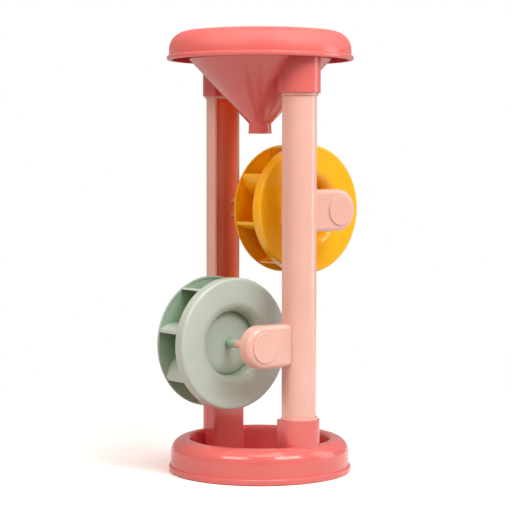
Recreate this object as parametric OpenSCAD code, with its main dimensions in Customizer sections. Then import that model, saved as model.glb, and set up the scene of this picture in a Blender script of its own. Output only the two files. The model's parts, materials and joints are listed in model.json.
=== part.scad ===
// Sand wheel toy: a funnel tray on two channel pillars over a round base tray,
// with two freely turning paddle wheels between the pillars.
// Frame: origin at the centre of the footprint, +Z up. The wheels turn about Y,
// the lower one on the -X side, the upper one on the +X side. Front is -Y.

/* [Layout] */
// Distance from the toy's axis to the centre of each pillar's round back
pillar_pitch = 55.3; // [54:0.1:58]
// Distance from the toy's axis to each wheel's axle
wheel_offset = 41.5; // [38:0.5:44]
// Gap between the base's rim and the lower wheel above it
base_gap = 29.7; // [24:0.1:36]
// Gap between the two wheels' edges
wheel_gap = 27.6; // [16:0.1:40]
// Gap between the upper wheel and the spout above it
spout_gap = 9.6; // [4:0.1:20]

/* [Base tray] */
// Wall of both trays
tray_wall = 2.2; // [1.8:0.1:2.8]
// Height of the base's rim
base_rim_h = 29.4; // [26:0.2:34]
// Radius of the well inside the rim
base_mouth_r = 61; // [60:0.5:64]
// Rounding of the rim's inner edge
base_mouth_round = 4; // [3:0.2:5]
// Width of the flat on top of the rim
base_rim_flat = 1.6; // [1:0.2:4]
// Rounding of the rim's outer edge
base_rim_round = 12; // [9:0.2:13]
// How far the lip round the foot stands out past the outer wall
base_lip_out = 1.9; // [1.2:0.1:4]
// Height of that lip
base_lip_h = 5.4; // [4:0.2:8]
// Height of the well's floor
base_floor_z = 5.2; // [4:0.2:8]
// How far the two sockets in the base stand up past the rim
base_socket_rise = 22.2; // [16:0.2:26]

/* [Funnel tray] */
// Radius of the bowl inside the rim
tray_mouth_r = 59.8; // [58:0.2:62]
// Rounding of the rim's inner edge
tray_mouth_round = 3.4; // [3:0.2:6]
// Width of the flat on top of the rim
tray_rim_flat = 0.6; // [0.2:0.2:3]
// Rounding of the rim's outer edge
tray_rim_round = 16; // [12:0.2:18]
// Height of the bowl's upright wall, from the funnel to the rim
bowl_h = 23.2; // [20:0.1:26]
// Height of the skirt, from the lip's lower edge to the rim
skirt_h = 24.8; // [22:0.2:28]
// How far the lip round the skirt stands out
tray_lip_out = 1.9; // [1.2:0.1:4]
// Height of that lip
tray_lip_h = 3.9; // [3:0.1:6]
// Chamfer on both trays' lips
lip_edge = 0.9; // [0.4:0.1:1.2]
// Slope of the funnel, measured from upright
cone_angle = 43; // [41:0.5:45]
// Radius of the spout at its root
spout_r = 9.8; // [9:0.1:11]
// How much wider the spout is at its tip
spout_flare = 0.4; // [0.1:0.1:1]
// Wall of the spout
spout_wall = 1.9; // [1.6:0.1:2.4]
// Length of the spout
spout_len = 8.6; // [6:0.1:14]
// How far the two sockets under the tray reach down from where the pillars would meet the funnel
tray_socket_h = 14.1; // [12:0.1:20]

/* [Pillars] */
// Radius of a pillar's round back
pillar_r = 14; // [13.4:0.1:14.4]
// Length of a pillar's straight sides, towards the toy's axis
pillar_side = 7.7; // [7:0.1:9]
// Wall of a pillar
pillar_wall = 2.1; // [1.8:0.1:2.4]
// Thickness of the flange at each end of a pillar
flange_t = 2.2; // [2:0.1:4]
// How far the flange stands out past the pillar
flange_lip = 1.4; // [1:0.1:2.2]
// Height of a pillar's closed foot above the well's floor, inside the base's socket
foot_lift = 26.4; // [16:0.2:34]
// Room between a pillar's closed head and the funnel above it
head_room = 2.6; // [1:0.2:4]
// How far the closed foot and head reach past the channel's open side
plug_extra = 1; // [0.8:0.1:1.6]
// Wall of the sockets
socket_wall = 3; // [2:0.1:3.4]
// Rounding of the sockets' two inner corners
socket_corner = 2.4; // [1.5:0.1:3]

/* [Arms] */
// How far an arm's outer face lies outside the pillar's centre
arm_stand = 4.6; // [3.8:0.1:5.2]
// Depth of an arm from its outer to its inner face
arm_depth = 12.5; // [12:0.1:13]
// Wall of an arm
arm_wall = 2; // [1.6:0.1:2.2]
// Radius of the round pocket that takes the pin's head and the cap
pocket_r = 12; // [11.5:0.1:12.8]
// Width of the arm's round end outside the pocket
arm_rim = 6.3; // [6:0.1:8]
// Rounding of an arm's outer edge
arm_round = 4.4; // [3:0.1:4.8]
// Rounding of the two corners of an arm's flat end
arm_corner = 3; // [2:0.1:4]
// Depth of the pocket
pocket_depth = 6.9; // [6.5:0.1:7.2]
// Thickness of the pocket's bottom
pocket_floor = 2; // [1.6:0.1:2.4]
// Radius of the boss round the axle pin
boss_r = 6; // [5:0.1:7]
// How far the boss stands out past the arm's inner face
boss_len = 10; // [6:0.5:16]
// Thickness of the ribs inside an arm
rib_t = 1.6; // [1.2:0.1:2]
// Height from the arm's middle to the outside of its two snap hooks
hook_h = 8; // [7:0.1:9]
// Thickness of a snap hook
hook_t = 3; // [2.4:0.1:3.4]
// Width of a snap hook, along the wheel's axle
hook_w = 5; // [4:0.1:5.4]
// Distance from the arm's outer face to the hook
hook_inset = 5.3; // [5.2:0.1:6]
// How far a hook's barb stands out
barb = 1.2; // [0.8:0.1:1.4]
// Length of a hook's barb
barb_len = 2.4; // [2:0.1:3]

/* [Axle pins and caps] */
// Radius of an axle pin between its arm and its wheel
pin_r = 3.4; // [3:0.1:3.8]
// Radius of the pin's tip, on which the wheel turns
journal_r = 2.4; // [2:0.1:2.6]
// Length of the pin's tip inside the wheel
journal_len = 9; // [7:0.5:12]
// Chamfer at the pin's tip
tip_chamfer = 0.5; // [0.2:0.1:0.8]
// Thickness of the pin's head
head_t = 2.5; // [2:0.1:3]
// Room round the pin's head in its pocket
head_gap = 0.8; // [0.4:0.1:1.2]
// How far the round cap laps over the pocket's edge
cap_lap = 1.2; // [1:0.05:2]
// How far the cap stands proud of the arm
cap_t = 1.2; // [0.8:0.1:1.6]
// Rounding of the cap's edge
cap_round = 0.7; // [0.4:0.1:0.7]
// Wall of the ring behind the cap
cap_ring = 1.8; // [1.4:0.1:2]

/* [Wheels] */
// Radius of a wheel
wheel_r = 56.9; // [54:0.1:60]
// Distance from a wheel's mid-plane to its outer faces
wheel_half = 19; // [18:0.1:20]
// Wall of the wheel's two halves
wheel_wall = 2; // [1.6:0.1:2.2]
// Rounding of a wheel's outer edges
wheel_round = 2.4; // [2.2:0.1:4]
// Width of the straight flank of the deep front half
front_flank = 7.6; // [4:0.2:9]
// Width of the straight flank of the shallow back half
back_flank = 0.2; // [0.2:0.2:6]
// Radius of the roll from the flat ring down into the hollow round the hub
roll_r = 9; // [7:0.1:9.8]
// Distance from the mid-plane to the bottom of that hollow
moat_y = 6.9; // [6.2:0.1:7.6]
// Width of the hollow's bottom
moat_w = 0.9; // [0.6:0.1:1.6]
// Radius of the domed hub
hub_r = 26.8; // [25:0.1:28]
// Height of the hub's edge above the hollow's bottom
hub_rise = 0.5; // [0.3:0.1:0.9]
// Width of the hub's outer slope
hub_slope_w = 5.3; // [4:0.1:6]
// Rise of that slope
hub_slope_h = 0.7; // [0.4:0.1:1.2]
// Width of the gentler slope inside it
hub_ring_w = 4.6; // [3:0.1:6]
// Rise of the gentler slope, up to the flat disc in the middle
hub_ring_h = 0.3; // [0.2:0.1:0.6]
// Wall of the stub tube at the wheel's centre
stub_wall = 1.1; // [1:0.02:2]
// How far the stub tube stands out past the outer faces
stub_out = 1.8; // [0:0.1:3]
// How far the barrel that carries the paddles lies outside the hub
barrel_out = 2.2; // [2:0.1:2.4]
// Wall of that barrel
barrel_wall = 2; // [1.6:0.1:2.4]
// Thickness of the web between the barrel and the stub tube
web_t = 2; // [1.6:0.1:3]
// Number of paddles on a wheel
paddles = 8; // [6:1:10]
// Thickness of a paddle
paddle_t = 2; // [1.6:0.1:2.4]
// Radius of a paddle's curve
paddle_curve_r = 26; // [24:0.5:30]
// Distance from the wheel's edge to the centre of that curve
paddle_inset = 17; // [15:0.5:19]
// Turn of the paddles at rest: a pocket faces straight up
paddle_turn = 12.5; // [0:0.5:22]
// How far a paddle's tip stays inside the wheel's edge
tip_inset = 0.9; // [0.5:0.1:2]

/* [Fits] */
// Radial play of a wheel on its pins
running_gap = 0.06; // [0.04:0.01:0.1]
// End play between a wheel's stub and each pin's shoulder
end_gap = 0.4; // [0.3:0.05:0.6]
// Room round a piece that is pushed into another and stays there
seat_gap = 0.1; // [0.05:0.05:0.2]

/* [Hidden] */

// Overrun of every cut
over = 1;
// Smoothness of turned shapes, of small round shapes, and of rounded outlines
turned_fn = 128;
small_fn = 48;
arc_steps = 8;
// A paddle's edge follows the wheel's roundings in fewer steps, a little inside them
paddle_steps = 2;

coral = [0.87, 0.40, 0.36];
blush = [0.95, 0.73, 0.66];
yellow = [0.97, 0.68, 0.13];
sage = [0.66, 0.74, 0.66];

lower = -1;
upper = 1;
front = -1;
back = 1;

// Heights, from the ground up: base, lower wheel, upper wheel, spout, funnel, rim
base_socket_z = base_rim_h + base_socket_rise;
lower_axle_z = base_rim_h + base_gap + wheel_r;
axle_spacing = 2 * wheel_r + wheel_gap;
upper_axle_z = lower_axle_z + sqrt(axle_spacing * axle_spacing - 4 * wheel_offset * wheel_offset);
spout_tip_z = upper_axle_z + wheel_r + spout_gap;
cone_low_z = spout_tip_z + spout_len;
top_z = cone_z(tray_mouth_r, 0) + bowl_h;
skirt_low_z = top_z - skirt_h;
// Radii of the two trays
base_wall_r = base_mouth_r + base_mouth_round + base_rim_flat + base_rim_round;
base_lip_r = base_wall_r + base_lip_out;
skirt_r = tray_mouth_r + tray_mouth_round + tray_rim_flat + tray_rim_round;
tray_lip_r = skirt_r + tray_lip_out;
spout_bore_r = spout_r - spout_wall;
// Pillars: the channel runs between the two flanges, which seat on the sockets
plug_side = pillar_side + plug_extra;
tray_socket_z = cone_z(pillar_pitch - plug_side, tray_wall) - tray_socket_h;
channel_low_z = base_socket_z + flange_t;
channel_high_z = tray_socket_z - flange_t;
head_len = tray_socket_h - head_room;
foot_len = base_socket_z - base_floor_z - foot_lift;
// Arms
arm_face = pillar_pitch + arm_stand;
arm_inner = arm_face - arm_depth;
arm_r = pocket_r + arm_rim;
// From the axle to the pillar's flat side, and on to where the arm's outer face meets its round back
arm_reach = wheel_offset - pillar_r;
arm_end = wheel_offset - sqrt(pillar_r * pillar_r - arm_stand * arm_stand);
pocket_y = arm_face - pocket_depth;
hook_outer = arm_face - hook_inset;
hook_low = hook_h - hook_t;
// Axle pins and caps
stub_r = journal_r + running_gap + stub_wall;
stub_y = wheel_half + stub_out;
shoulder_y = stub_y + end_gap;
head_r = pocket_r - head_gap;
head_y = pocket_y + head_t;
cap_r = pocket_r + cap_lap;
// Wheels: the hub from its edge inwards, then the hollow and the roll round it
hub_y = moat_y + hub_rise;
hub_ring_r = hub_r - hub_slope_w;
hub_ring_y = hub_y + hub_slope_h;
disc_r = hub_ring_r - hub_ring_w;
disc_y = hub_ring_y + hub_ring_h;
moat_r = hub_r + moat_w;
front_edge_y = wheel_half - wheel_round - front_flank;
back_edge_y = wheel_half - wheel_round - back_flank;
// Paddle rotor
barrel_r = hub_r + barrel_out;
paddle_centre = wheel_r - paddle_inset;
tip_r = wheel_r - tip_inset;

function arc(c, r, a0, a1, steps = arc_steps) = [for (i = [0 : steps])
    let (a = a0 + (a1 - a0) * i / steps) [c[0] + r * cos(a), c[1] + r * sin(a)]];
function reversed(v) = [for (i = [len(v) - 1 : -1 : 0]) v[i]];

// Outline of the lip round a tray's foot, from below
function lip(r, h, z) = [[r - lip_edge, z], [r, z + lip_edge],
    [r, z + h - lip_edge], [r - lip_edge, z + h]];

// The base tray's skin at depth s below its outer surface, from the foot to the axis
function base_skin(s) = concat(
    arc([base_wall_r - base_rim_round, base_rim_h - base_rim_round], base_rim_round - s, 0, 90),
    arc([base_mouth_r + base_mouth_round, base_rim_h - base_mouth_round], base_mouth_round - s, 90, 180),
    [[base_mouth_r + s, base_floor_z - s], [0, base_floor_z - s]]);

// Height at which the funnel's skin at depth s has the radius r
function cone_z(r, s) = cone_low_z
    + (r + (tray_wall - s) / cos(cone_angle) - spout_r) / tan(cone_angle);

// The funnel tray's skin at depth s below its upper surface, down to the radius r_end
function tray_skin(s, r_end) = concat(
    arc([skirt_r - tray_rim_round, top_z - tray_rim_round], tray_rim_round - s, 0, 90),
    arc([tray_mouth_r + tray_mouth_round, top_z - tray_mouth_round], tray_mouth_round - s, 90, 180),
    [[tray_mouth_r + s, cone_z(tray_mouth_r + s, s)], [r_end, cone_z(r_end, s)]]);

// Round back of a D outline. Its cut edge lies between the straight sides, halfway to y = side.
module round_back(r, side) {
    intersection() {
        circle(r, $fn = turned_fn);
        translate([-r, -r]) square([2 * r, r + side / 2]);
    }
}

// Closed D outline: a round back of radius r, and straight sides to a flat face at y = side
module d_outline(r, side) {
    round_back(r, side);
    translate([-r, 0]) square([2 * r, side]);
}

// The same outline with its two far corners rounded
module d_outline_soft(r, side, corner) {
    round_back(r, side);
    translate([-r, 0]) square([2 * r, side - corner]);
    translate([corner - r, 0]) square([2 * (r - corner), side]);
    for (s = [-1, 1]) translate([s * (r - corner), side - corner]) circle(corner, $fn = small_fn);
}

// Places a shape at a pillar, with +Y of the shape towards the toy's axis
module at_pillar(side) {
    rotate(side == front ? 0 : 180) translate([0, -pillar_pitch, 0]) children();
}

module socket_outer(z0, z1) {
    translate([0, 0, z0]) linear_extrude(z1 - z0)
        d_outline_soft(pillar_r + seat_gap + socket_wall, plug_side + seat_gap + socket_wall, socket_corner);
}

module socket_bore(z0, z1) {
    translate([0, 0, z0]) linear_extrude(z1 - z0)
        d_outline(pillar_r + seat_gap, plug_side + seat_gap);
}

module base_tray() {
    color(coral) difference() {
        union() {
            rotate_extrude($fn = turned_fn) polygon(concat(
                lip(base_lip_r, base_lip_h, 0), [[base_wall_r, base_lip_h]],
                base_skin(0), reversed(base_skin(tray_wall)), [[base_wall_r - tray_wall, 0]]));
            for (side = [front, back]) at_pillar(side)
                socket_outer(base_floor_z - tray_wall, base_socket_z);
        }
        for (side = [front, back]) at_pillar(side) socket_bore(base_floor_z, base_socket_z + over);
    }
}

module funnel_tray() {
    color(coral) union() {
        rotate_extrude($fn = turned_fn) polygon(concat(
            lip(tray_lip_r, tray_lip_h, skirt_low_z), [[skirt_r, skirt_low_z + tray_lip_h]],
            tray_skin(0, spout_bore_r), [[spout_bore_r, spout_tip_z], [spout_r + spout_flare, spout_tip_z]],
            reversed(tray_skin(tray_wall, spout_r)), [[skirt_r - tray_wall, skirt_low_z]]));
        // The two sockets hang from the middle of the tray's wall
        intersection() {
            for (side = [front, back]) at_pillar(side) difference() {
                socket_outer(tray_socket_z, top_z);
                socket_bore(tray_socket_z - over, top_z + over);
            }
            rotate_extrude($fn = turned_fn) polygon(concat(
                [[skirt_r - tray_wall / 2, cone_low_z]],
                tray_skin(tray_wall / 2, spout_r), [[spout_r, cone_low_z]]));
        }
    }
}

module pillar(side) {
    lower_slot = side == front ? -1 : 1;
    at_pillar(side) difference() {
        union() {
            translate([0, 0, channel_low_z]) linear_extrude(channel_high_z - channel_low_z) difference() {
                d_outline(pillar_r, pillar_side);
                d_outline(pillar_r - pillar_wall, pillar_side + over);
            }
            for (z = [base_socket_z, channel_high_z]) translate([0, 0, z]) linear_extrude(flange_t)
                d_outline_soft(pillar_r + flange_lip, plug_side, socket_corner);
            for (z = [[base_socket_z - foot_len, foot_len], [tray_socket_z, head_len]])
                translate([0, 0, z[0]]) linear_extrude(z[1]) difference() {
                    d_outline(pillar_r, plug_side);
                    d_outline(pillar_r - pillar_wall, plug_side - pillar_wall);
                }
        }
        hook_slot(lower_slot, lower_axle_z);
        hook_slot(-lower_slot, upper_axle_z);
    }
}

// Slot for an arm's two hooks, in the pillar's side wall at x = side * pillar_r
module hook_slot(side, axle_z) {
    slot_w = hook_w + 2 * seat_gap;
    slot_h = 2 * (hook_h + seat_gap);
    translate([side * (pillar_r - pillar_wall / 2), pillar_pitch - hook_outer + hook_w / 2, axle_z])
        cube([pillar_wall + 2 * over, slot_w, slot_h], center = true);
}

// Places a shape at a wheel's axle
module at_axle(level) {
    translate([level * wheel_offset, 0, level == lower ? lower_axle_z : upper_axle_z]) children();
}

// Places a shape at one end of an axle, by a half turn: +X of the shape towards the pillar,
// +Y outwards from the mid-plane. These shapes are alike above and below their middle.
module at_arm(level, side) {
    lower_turn = side == front ? [180, 0, 0] : [0, 0, 0];
    upper_turn = side == front ? [0, 0, 180] : [0, 180, 0];
    at_axle(level) rotate(level == lower ? lower_turn : upper_turn) children();
}

// Turned about the axle: the outline holds radius and distance from the mid-plane
module turned(points, fn = turned_fn) {
    rotate([-90, 0, 0]) rotate_extrude($fn = fn) polygon(points);
}

// Round end and straight body of an arm, its outer edge rounded
module arm_block(r, y0, y1, round, reach) {
    edge = arc([r - round, y1 - round], round, 0, 90);
    intersection() {
        turned(concat([[0, y0], [r, y0]], edge, [[0, y1]]));
        translate([-r - over, y0 - over, -r - over]) cube([r + over, y1 - y0 + 2 * over, 2 * (r + over)]);
    }
    rotate([90, 0, 90]) linear_extrude(reach) polygon(concat(
        [[y0, -r], [y0, r]], [for (p = edge) [p[1], p[0]]],
        [for (p = reversed(edge)) [p[1], -p[0]]]));
}

module arm(level, side) {
    boss_y = arm_inner - boss_len;
    color(blush) at_arm(level, side) difference() {
        union() {
            difference() {
                intersection() {
                    arm_block(arm_r, arm_inner, arm_face, arm_round, arm_end);
                    arm_plan();
                }
                arm_block(arm_r - arm_wall, arm_inner - over, arm_face - arm_wall,
                    arm_round - arm_wall, arm_reach - arm_wall);
                pillar_room();
            }
            // Cup for the pin's head and the cap, and the boss behind it
            turned([[0, pocket_y - pocket_floor], [pocket_r + arm_wall, pocket_y - pocket_floor],
                [pocket_r + arm_wall, arm_face - arm_wall / 2], [0, arm_face - arm_wall / 2]]);
            turned([[0, boss_y], [boss_r, boss_y], [boss_r, pocket_y - pocket_floor / 2],
                [0, pocket_y - pocket_floor / 2]], small_fn);
            // Ribs from the cup to the end wall
            for (s = [-1, 1]) translate([pocket_r, arm_inner, s * hook_low - (s + 1) / 2 * rib_t])
                cube([arm_reach - pocket_r - arm_wall / 2, arm_depth - arm_wall / 2, rib_t]);
            for (s = [-1, 1]) hook(s);
        }
        turned([[0, pocket_y], [pocket_r, pocket_y], [pocket_r, arm_face + over], [0, arm_face + over]]);
        turned([[0, boss_y - over], [pin_r + seat_gap, boss_y - over],
            [pin_r + seat_gap, pocket_y + over], [0, pocket_y + over]], small_fn);
    }
}

// Plan of an arm, with the two corners at the pillar rounded
module arm_plan() {
    translate([0, arm_inner - over, 0]) rotate([-90, 0, 0]) linear_extrude(arm_depth + 2 * over) {
        translate([-arm_r - over, -arm_r - over])
            square([arm_end - arm_corner + arm_r + over, 2 * (arm_r + over)]);
        translate([0, arm_corner - arm_r]) square([arm_end, 2 * (arm_r - arm_corner)]);
        for (s = [-1, 1]) translate([arm_end - arm_corner, s * (arm_r - arm_corner)])
            circle(arm_corner, $fn = small_fn);
    }
}

// Room for the pillar at an arm's end: the arm bears on its flat side and laps round its back
module pillar_room() {
    translate([wheel_offset, pillar_pitch, -arm_r - over]) linear_extrude(2 * (arm_r + over)) {
        translate([-pillar_r, -arm_depth]) square([2 * pillar_r, arm_depth + over]);
        intersection() {
            circle(pillar_r + seat_gap, $fn = turned_fn);
            translate([-pillar_r - over, 0]) square([2 * (pillar_r + over), arm_depth]);
        }
    }
}

// Snap hook at the arm's flat end: it goes through the pillar's wall and grips behind it
module hook(s) {
    grip_x = arm_reach + pillar_wall + seat_gap;
    rotate([90, 0, 0]) translate([0, 0, -hook_outer]) linear_extrude(hook_w) polygon([
        [arm_reach - arm_wall / 2, s * hook_low], [grip_x + barb_len, s * hook_low],
        [grip_x + barb_len, s * (hook_h - barb)], [grip_x, s * (hook_h + barb)],
        [grip_x, s * hook_h], [arm_reach - arm_wall / 2, s * hook_h]]);
}

module axle_pin(level, side) {
    tip_y = shoulder_y - journal_len;
    color(blush) at_arm(level, side) turned([[0, tip_y], [journal_r - tip_chamfer, tip_y],
        [journal_r, tip_y + tip_chamfer], [journal_r, shoulder_y], [pin_r, shoulder_y],
        [pin_r, pocket_y], [head_r, pocket_y], [head_r, head_y], [0, head_y]], small_fn);
}

module arm_cap(level, side) {
    plug_r = pocket_r - seat_gap;
    color(blush) at_arm(level, side) turned(concat(
        [[0, arm_face], [plug_r - cap_ring, arm_face], [plug_r - cap_ring, head_y], [plug_r, head_y],
            [plug_r, arm_face], [cap_r, arm_face]],
        arc([cap_r - cap_round, arm_face + cap_t - cap_round], cap_round, 0, 90),
        [[0, arm_face + cap_t]]));
}

// The outer part of a wheel half's skin at depth s below its outer face:
// rounded edge, flat ring, and the roll down into the hollow round the hub
function face_skin(s, steps = arc_steps) = concat(
    arc([wheel_r - wheel_round, wheel_half - wheel_round], wheel_round - s, 0, 90, steps),
    arc([moat_r + roll_r, wheel_half - roll_r], roll_r - s, 90, 180, steps),
    [[moat_r + s, moat_y - s]]);

// The whole skin, from the edge over the domed hub and its flat disc to the bore
function half_skin(s, edge_y) = concat([[wheel_r - s, edge_y]], face_skin(s),
    [[hub_r - s, moat_y - s], [hub_r - s, hub_y - s], [hub_ring_r, hub_ring_y - s],
        [disc_r, disc_y - s], [stub_r + seat_gap, disc_y - s]]);

// A wheel half, with its outer face at +Y
module wheel_half_shell(edge_y) {
    turned(concat(half_skin(0, edge_y), reversed(half_skin(wheel_wall, edge_y))));
}

module wheel_front_half(level) {
    at_axle(level) rotate(180) wheel_half_shell(front_edge_y);
}

module wheel_back_half(level) {
    at_axle(level) wheel_half_shell(back_edge_y);
}

// One side of the space that the paddles fill, from the barrel out between the two halves
function paddle_space(edge_y) =
    let (s = wheel_wall + seat_gap) concat(
        [[barrel_r - barrel_wall / 2, moat_y - s]], reversed(face_skin(s, paddle_steps)),
        [[wheel_r - s, edge_y - seat_gap], [tip_r, edge_y - seat_gap]]);

// Stub tube, web, barrel and paddles of a wheel
module paddle_rotor(level) {
    barrel_y = moat_y - wheel_wall;
    at_axle(level) {
        turned([[stub_r - stub_wall, -stub_y], [stub_r, -stub_y], [stub_r, -web_t / 2],
            [barrel_r - barrel_wall, -web_t / 2], [barrel_r - barrel_wall, -barrel_y],
            [barrel_r, -barrel_y], [barrel_r, barrel_y], [barrel_r - barrel_wall, barrel_y],
            [barrel_r - barrel_wall, web_t / 2], [stub_r, web_t / 2], [stub_r, stub_y],
            [stub_r - stub_wall, stub_y]]);
        intersection() {
            rotate([90, 0, 0]) translate([0, 0, -wheel_half]) linear_extrude(2 * wheel_half)
                for (i = [0 : paddles - 1]) rotate(360 / paddles * i - level * paddle_turn)
                    paddle_outline(level);
            turned(concat([for (p = paddle_space(front_edge_y)) [p[0], -p[1]]],
                reversed(paddle_space(back_edge_y))));
        }
    }
}

// A curved paddle seen from the front, longer than the space it is cut to. Its hollow side
// faces the falling sand: upwards on the side of the wheel that is nearer the toy's axis.
module paddle_outline(level) {
    intersection() {
        translate([paddle_centre, 0]) difference() {
            circle(paddle_curve_r + paddle_t / 2, $fn = turned_fn);
            circle(paddle_curve_r - paddle_t / 2, $fn = turned_fn);
        }
        translate([0, level == upper ? 0 : -wheel_r]) square([wheel_r, wheel_r]);
    }
}

module front_pillar() { color(blush) pillar(front); }
module back_pillar() { color(blush) pillar(back); }
module lower_front_arm() { arm(lower, front); }
module lower_back_arm() { arm(lower, back); }
module upper_front_arm() { arm(upper, front); }
module upper_back_arm() { arm(upper, back); }
module lower_front_axle_pin() { axle_pin(lower, front); }
module lower_back_axle_pin() { axle_pin(lower, back); }
module upper_front_axle_pin() { axle_pin(upper, front); }
module upper_back_axle_pin() { axle_pin(upper, back); }
module lower_front_arm_cap() { arm_cap(lower, front); }
module lower_back_arm_cap() { arm_cap(lower, back); }
module upper_front_arm_cap() { arm_cap(upper, front); }
module upper_back_arm_cap() { arm_cap(upper, back); }
module lower_wheel_front_half() { color(sage) wheel_front_half(lower); }
module lower_wheel_back_half() { color(sage) wheel_back_half(lower); }
module lower_paddle_rotor() { color(sage) paddle_rotor(lower); }
module upper_wheel_front_half() { color(yellow) wheel_front_half(upper); }
module upper_wheel_back_half() { color(yellow) wheel_back_half(upper); }
module upper_paddle_rotor() { color(yellow) paddle_rotor(upper); }

base_tray();
funnel_tray();
front_pillar();
back_pillar();
lower_front_arm();
lower_back_arm();
upper_front_arm();
upper_back_arm();
lower_front_axle_pin();
lower_back_axle_pin();
upper_front_axle_pin();
upper_back_axle_pin();
lower_front_arm_cap();
lower_back_arm_cap();
upper_front_arm_cap();
upper_back_arm_cap();
lower_wheel_front_half();
lower_wheel_back_half();
lower_paddle_rotor();
upper_wheel_front_half();
upper_wheel_back_half();
upper_paddle_rotor();
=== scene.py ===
"""A sand wheel toy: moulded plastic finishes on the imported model, a plain studio and the camera."""

import json
from math import pi, radians

import bpy
from mathutils import Matrix, Vector

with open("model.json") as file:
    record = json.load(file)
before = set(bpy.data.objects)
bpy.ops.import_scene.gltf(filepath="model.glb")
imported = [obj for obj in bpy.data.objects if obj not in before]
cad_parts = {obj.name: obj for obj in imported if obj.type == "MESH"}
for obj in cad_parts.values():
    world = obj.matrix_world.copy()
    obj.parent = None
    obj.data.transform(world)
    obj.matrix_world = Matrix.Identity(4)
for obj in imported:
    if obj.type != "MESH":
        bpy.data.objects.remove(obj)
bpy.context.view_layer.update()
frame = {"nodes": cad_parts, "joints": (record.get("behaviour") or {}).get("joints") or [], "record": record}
bpy.ops.object.select_all(action="DESELECT")

MM = 0.001
scene = bpy.context.scene


def srgb(red, green, blue):
    """A colour as read off a screen, 0 to 255, made linear for a shader."""
    def linear(value):
        share = value / 255
        return share / 12.92 if share <= 0.04045 else ((share + 0.055) / 1.055) ** 2.4
    return linear(red), linear(green), linear(blue), 1.0


# Colours of the four plastics: the body of each, the tone that it drifts to, and a warmer,
# deeper tone painted into its recesses as painted shade
CORAL = srgb(221, 112, 106)
CORAL_DEEP = srgb(216, 104, 99)
CORAL_PAINTED_SHADE = srgb(217, 79, 85)
BLUSH = srgb(229, 186, 171)
BLUSH_DEEP = srgb(225, 179, 164)
BLUSH_PAINTED_SHADE = srgb(255, 122, 48)
YELLOW = srgb(248, 192, 36)
YELLOW_DEEP = srgb(245, 182, 24)
YELLOW_PAINTED_SHADE = srgb(242, 160, 2)
SAGE = srgb(188, 204, 192)
SAGE_DEEP = srgb(180, 198, 185)
SAGE_PAINTED_SHADE = srgb(146, 178, 146)

# Patterns in and on the plastic: how fine each is per metre, and in how many layers
FLOW = {"Scale": 14, "Detail": 3.0}
CLOUD = {"Scale": 55, "Detail": 4.0}
GRAIN = {"Scale": 1400, "Detail": 2.0}
RINGS = {"Scale": 260, "Detail": 3.0}
# The part of a pattern's range over which the colour drifts, or the gloss changes
FLOW_FROM, FLOW_TO = 0.35, 0.65
CLOUD_FROM, CLOUD_TO = 0.3, 0.7
# How high the grain and the rings stand, and how strongly they turn the light
GRAIN_HEIGHT = 0.04 * MM
GRAIN_STRENGTH = 0.12
RINGS_HEIGHT = 0.12 * MM
RINGS_STRENGTH = 0.3

# Edges look rounded by this much, and take up to this share of a tone paler than the body
EDGE_SOFTNESS = 0.6 * MM
EDGE_SHARE = 0.3
EDGE_PALER = 1.25
EDGE_LIFT = 0.02
# The cosine between the rounded and the true surface at which an edge counts in full
EDGE_FULL = 0.75

# How far around itself a spot looks for open sky, and the open sky share of full painted shade
PAINTED_SHADE_REACH = 45 * MM
PAINTED_SHADE_FULL = 0.25

# Roughness wanders between these two steps from the plastic's own
GLOSS_BETTER = 0.03
GLOSS_WORSE = 0.05
# Sand and hands have rubbed the upper rim duller, more and more from one height to the other
RIM_WEAR = 0.42
RIM_WEAR_FROM = 365 * MM
RIM_WEAR_FULL = 373 * MM

# How much the plastic bends light, and how deep red, green and blue go into it
PLASTIC_IOR = 1.5
LIGHT_DEPTH = 3 * MM
LIGHT_DEPTH_SHARES = (1.0, 0.4, 0.3)

WHITE = (1.0, 1.0, 1.0, 1.0)
# The dim light of the surround on the toy
SURROUND_LIGHT = 0.35
SURROUND_TONE = (1.0, 0.82, 0.76, 1.0)
# Shares of their white that the surround and the floor show in the plastic's gloss
MIRRORED_SURROUND = 0.25
MIRRORED_FLOOR = 0.9

# The floor, in metres: its side, its drop below the toy, and where it turns into plain white
FLOOR_SIZE = 14.0
FLOOR_DROP = 0.1 * MM
WHITE_FROM = 0.2
WHITE_FULL = 0.6
# The floor's paper as it lights the toy, and as it is seen
PAPER_TO_THE_TOY = (0.57, 0.48, 0.46, 1.0)
PAPER_TO_THE_EYE = (1.25, 1.25, 1.25, 1.0)

# What the lamps face
TOY_MIDDLE = Vector((0, 0, 190 * MM))

# Camera: left of the front, at the height of the upper wheel, with its angles in degrees
CAMERA_AZIMUTH = -38.536
CAMERA_DISTANCE = 1494.96 * MM
CAMERA_HEIGHT = 274.83 * MM
CAMERA_TURN = 0.133
CAMERA_DIP = 3.271
CAMERA_ROLL = 0.059
CAMERA_REACH = 50.0
FOCAL_PIXELS = 1699.79
PICTURE_PIXELS = 512
SENSOR_MM = 36.0


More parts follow.
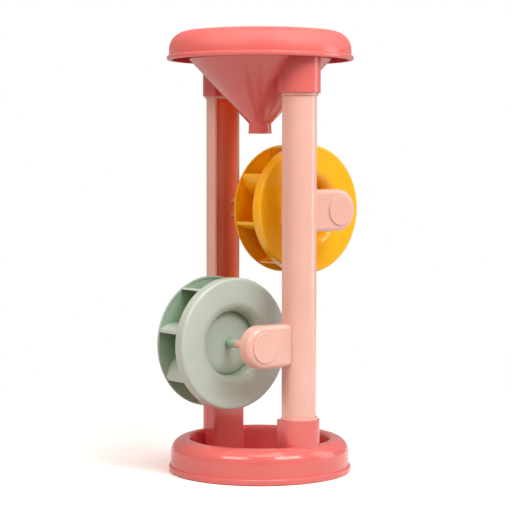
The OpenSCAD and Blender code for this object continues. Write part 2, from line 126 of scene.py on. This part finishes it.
class Nodes:
    """Adds shader nodes to a material or a world and links them."""

    def __init__(self, owner):
        owner.use_nodes = True
        self.tree = owner.node_tree
        self.tree.nodes.clear()

    def feed(self, socket, value):
        if isinstance(value, bpy.types.NodeSocket):
            self.tree.links.new(value, socket)
        else:
            socket.default_value = value

    def add(self, kind, settings=None, **inputs):
        node = self.tree.nodes.new(kind)
        for name, value in (settings or {}).items():
            setattr(node, name, value)
        for name, value in inputs.items():
            self.feed(node.inputs[name.replace("_", " ")], value)
        return node

    def number(self, kind, operation, *values):
        """The number that a maths node of this kind makes of the values."""
        node = self.add(kind, {"operation": operation})
        for socket, value in zip(node.inputs, values):
            self.feed(socket, value)
        return node.outputs["Value"]

    def maths(self, operation, one, other):
        return self.number("ShaderNodeMath", operation, one, other)

    def length(self, vector):
        return self.number("ShaderNodeVectorMath", "LENGTH", vector)

    def noise(self, place, pattern):
        return self.add("ShaderNodeTexNoise", Vector=place, **pattern).outputs["Fac"]

    def blend_colour(self, share, low, high):
        node = self.add("ShaderNodeMix", {"data_type": "RGBA"})
        # Where the factor and the two colours are among the node's sockets
        for place, value in ((0, share), (6, low), (7, high)):
            self.feed(node.inputs[place], value)
        return node.outputs[2]

    def stretch(self, value, low, high, to_low, to_high):
        node = self.add("ShaderNodeMapRange", Value=value)
        node.inputs["From Min"].default_value = low
        node.inputs["From Max"].default_value = high
        node.inputs["To Min"].default_value = to_low
        node.inputs["To Max"].default_value = to_high
        return node.outputs["Result"]

    def how_far(self, value, start, end):
        """0 at the start, 1 at the end."""
        return self.stretch(value, start, end, 0.0, 1.0)

    def show(self, kind, result):
        """Ends the tree in an output node of this kind."""
        output = self.add(kind)
        self.tree.links.new(result, output.inputs["Surface"])


def plastic_colour(nodes, place, soft_normal, tones, painted_shade_from, alone):
    """The body's tone with its drift, a painted shade in its recesses and its paler edges. Where
    alone is true, only the piece itself makes the recesses that take the painted shade."""
    body, deep, painted_shade = tones
    flow = nodes.noise(place, FLOW)
    drifted = nodes.blend_colour(nodes.how_far(flow, FLOW_FROM, FLOW_TO), body, deep)
    # Painted shade: where little sky is open around a spot, a warmer, deeper tone is blended in
    open_sky = nodes.add("ShaderNodeAmbientOcclusion", {"samples": 8, "only_local": alone},
                         Distance=PAINTED_SHADE_REACH).outputs["AO"]
    painted_shade_share = nodes.how_far(open_sky, painted_shade_from, PAINTED_SHADE_FULL)
    drifted = nodes.blend_colour(painted_shade_share, drifted, painted_shade)
    true_normal = nodes.add("ShaderNodeNewGeometry").outputs["Normal"]
    meet = nodes.number("ShaderNodeVectorMath", "DOT_PRODUCT", soft_normal, true_normal)
    edge = nodes.stretch(meet, 1.0, EDGE_FULL, 0.0, EDGE_SHARE)
    pale = tuple(min(1.0, channel * EDGE_PALER + EDGE_LIFT) for channel in body[:3]) + (1.0,)
    return nodes.blend_colour(edge, drifted, pale)


def plastic_roughness(nodes, place, gloss):
    """Patchy as a moulding is, and duller on the rubbed upper rim."""
    cloud = nodes.noise(place, CLOUD)
    patchy = nodes.stretch(cloud, CLOUD_FROM, CLOUD_TO, gloss - GLOSS_BETTER, gloss + GLOSS_WORSE)
    height = nodes.add("ShaderNodeSeparateXYZ", Vector=place).outputs["Z"]
    rubbed = nodes.stretch(height, RIM_WEAR_FROM, RIM_WEAR_FULL, 0.0, RIM_WEAR)
    return nodes.maths("ADD", patchy, rubbed)


def turned_rings(nodes, place, axle):
    """Faint uneven rings around an axle along Y, as off a turned mould."""
    centred = nodes.add("ShaderNodeMapping", Vector=place, Location=(-axle.x, 0.0, -axle.z))
    flat = nodes.add("ShaderNodeMapping", Vector=centred.outputs["Vector"], Scale=(1.0, 0.0, 1.0))
    radius = nodes.length(flat.outputs["Vector"])
    rings = nodes.add("ShaderNodeTexNoise", {"noise_dimensions": "1D"}, W=radius, **RINGS)
    return rings.outputs["Fac"]


def moulded_plastic(name, tones, gloss, glow, shine=0.5, painted_shade_from=0.8, axle=None):
    """Injection-moulded plastic: a faint drift of colour from the flow, a fine grain, soft paler
    edges and a warmer, deeper painted shade in recesses, which begins where less than the share
    painted_shade_from of the sky is open. With an axle, the piece belongs to a wheel: it carries
    faint rings around the axle, and the pieces around it count too for its painted shade."""
    material = bpy.data.materials.new(name)
    nodes = Nodes(material)
    place = nodes.add("ShaderNodeTexCoord").outputs["Object"]
    bevel = nodes.add("ShaderNodeBevel", {"samples": 4}, Radius=EDGE_SOFTNESS)
    soft_normal = bevel.outputs["Normal"]
    relief = nodes.add("ShaderNodeBump", Strength=GRAIN_STRENGTH, Distance=GRAIN_HEIGHT,
                       Height=nodes.noise(place, GRAIN), Normal=soft_normal)
    if axle is not None:
        relief = nodes.add("ShaderNodeBump", Strength=RINGS_STRENGTH, Distance=RINGS_HEIGHT,
                           Height=turned_rings(nodes, place, axle),
                           Normal=relief.outputs["Normal"])
    colour = plastic_colour(nodes, place, soft_normal, tones, painted_shade_from, alone=axle is None)
    shader = nodes.add("ShaderNodeBsdfPrincipled", Base_Color=colour, IOR=PLASTIC_IOR,
                       Roughness=plastic_roughness(nodes, place, gloss),
                       Normal=relief.outputs["Normal"])
    shader.inputs["Specular IOR Level"].default_value = shine
    shader.inputs["Subsurface Weight"].default_value = glow
    shader.inputs["Subsurface Radius"].default_value = LIGHT_DEPTH_SHARES
    shader.inputs["Subsurface Scale"].default_value = LIGHT_DEPTH
    nodes.show("ShaderNodeOutputMaterial", shader.outputs["BSDF"])
    return material


def axle_of(joint_name):
    joint = next(joint for joint in frame["joints"] if joint["name"] == joint_name)
    return Vector(joint["pos_m"])


def dress(node_names, material):
    for name in node_names:
        mesh = frame["nodes"][name].data
        mesh.materials.clear()
        mesh.materials.append(material)


def dress_toy():
    """Coral trays, a blush frame, a yellow upper wheel and a sage lower wheel."""
    coral = moulded_plastic("coral_plastic", (CORAL, CORAL_DEEP, CORAL_PAINTED_SHADE),
                            gloss=0.14, glow=0.10)
    blush = moulded_plastic("blush_plastic", (BLUSH, BLUSH_DEEP, BLUSH_PAINTED_SHADE),
                            gloss=0.12, glow=0.12)
    yellow = moulded_plastic("yellow_plastic", (YELLOW, YELLOW_DEEP, YELLOW_PAINTED_SHADE),
                             gloss=0.08, glow=0.10, shine=0.24,
                             axle=axle_of("upper_wheel_spin"))
    sage = moulded_plastic("sage_plastic", (SAGE, SAGE_DEEP, SAGE_PAINTED_SHADE),
                           gloss=0.20, glow=0.08, shine=0.35, painted_shade_from=0.74,
                           axle=axle_of("lower_wheel_spin"))
    bodies = frame["record"]["behaviour"]["bodies"]
    trays = ("base_tray", "funnel_tray")
    dress(trays, coral)
    dress([name for name in bodies["frame"] if name not in trays], blush)
    dress(bodies["upper_wheel"], yellow)
    dress(bodies["lower_wheel"], sage)


def surround():
    """White to the eye, paler grey in the gloss, and a dim, even and faintly warm light on the
    toy."""
    world = bpy.data.worlds.new("surround")
    scene.world = world
    nodes = Nodes(world)
    rays = nodes.add("ShaderNodeLightPath").outputs
    seen = nodes.maths("MAXIMUM", rays["Is Camera Ray"], rays["Is Transmission Ray"])
    mirrored = nodes.stretch(rays["Is Glossy Ray"], 0.0, 1.0, 0.0, MIRRORED_SURROUND)
    shown = nodes.maths("MAXIMUM", seen, mirrored)
    strength = nodes.stretch(shown, 0.0, 1.0, SURROUND_LIGHT, 1.0)
    tone = nodes.blend_colour(shown, SURROUND_TONE, WHITE)
    background = nodes.add("ShaderNodeBackground", Color=tone, Strength=strength)
    nodes.show("ShaderNodeOutputWorld", background.outputs["Background"])


def floor():
    """A large pale floor just under the toy. It holds the toy's shadow, and further out it turns
    into the white of the surround to the eye."""
    bpy.ops.mesh.primitive_plane_add(size=FLOOR_SIZE, location=(0, 0, -FLOOR_DROP))
    plane = bpy.context.object
    plane.name = "floor"
    material = bpy.data.materials.new("floor_paper")
    nodes = Nodes(material)
    rays = nodes.add("ShaderNodeLightPath").outputs
    mirrored = nodes.stretch(rays["Is Glossy Ray"], 0.0, 1.0, 0.0, MIRRORED_FLOOR)
    shown = nodes.maths("MAXIMUM", rays["Is Camera Ray"], mirrored)
    paper = nodes.blend_colour(shown, PAPER_TO_THE_TOY, PAPER_TO_THE_EYE)
    matt = nodes.add("ShaderNodeBsdfDiffuse", Color=paper)
    away = nodes.length(nodes.add("ShaderNodeTexCoord").outputs["Object"])
    outer = nodes.how_far(away, WHITE_FROM, WHITE_FULL)
    outer_to_the_eye = nodes.maths("MULTIPLY", outer, rays["Is Camera Ray"])
    white = nodes.add("ShaderNodeEmission", Color=WHITE, Strength=1.0)
    cover = nodes.add("ShaderNodeMixShader", Fac=outer_to_the_eye)
    nodes.feed(cover.inputs[1], matt.outputs["BSDF"])
    nodes.feed(cover.inputs[2], white.outputs["Emission"])
    nodes.show("ShaderNodeOutputMaterial", cover.outputs["Shader"])
    plane.data.materials.append(material)


def lamp(name, towards, distance, width, height, power, tint=(1.0, 1.0, 1.0)):
    """A soft box that stands in the given direction from the toy's middle and faces it."""
    way = Vector(towards).normalized()
    light = bpy.data.lights.new(name, "AREA")
    light.shape = "RECTANGLE"
    light.size = width
    light.size_y = height
    light.energy = power
    light.color = tint
    box = bpy.data.objects.new(name, light)
    scene.collection.objects.link(box)
    box.location = TOY_MIDDLE + way * distance
    box.rotation_euler = way.to_track_quat("Z", "Y").to_euler()


def lamps():
    """Four large soft boxes, in metres and watts."""
    lamp("front_box", (0.08, -1.00, 0.85), distance=1.6, width=0.9, height=0.6, power=15)
    lamp("right_box", (0.86, -0.52, 0.30), distance=1.6, width=0.7, height=1.4, power=7.5)
    lamp("left_box", (-0.98, -0.23, 0.78), distance=1.6, width=0.8, height=0.5, power=12,
         tint=(1.0, 0.82, 0.77))
    lamp("top_box", (-0.15, -0.35, 1.20), distance=1.5, width=0.9, height=0.9, power=9)


def camera():
    """Stands on a circle around the toy's upright axis and looks a little down."""
    data = bpy.data.cameras.new("camera")
    data.sensor_width = SENSOR_MM
    data.lens = SENSOR_MM * FOCAL_PIXELS / PICTURE_PIXELS
    data.clip_end = CAMERA_REACH
    view = bpy.data.objects.new("camera", data)
    scene.collection.objects.link(view)
    spot = Matrix.Rotation(radians(CAMERA_AZIMUTH), 3, "Z") @ Vector((0, -CAMERA_DISTANCE, 0))
    spot.z = CAMERA_HEIGHT
    view.location = spot
    heading = Matrix.Rotation(radians(CAMERA_AZIMUTH + CAMERA_TURN), 3, "Z")
    tilt = Matrix.Rotation(pi / 2 - radians(CAMERA_DIP), 3, "X")
    roll = Matrix.Rotation(radians(CAMERA_ROLL), 3, "Z")
    view.rotation_euler = (heading @ tilt @ roll).to_euler()
    scene.camera = view


dress_toy()
surround()
floor()
lamps()
camera()
scene.view_settings.view_transform = "Standard"
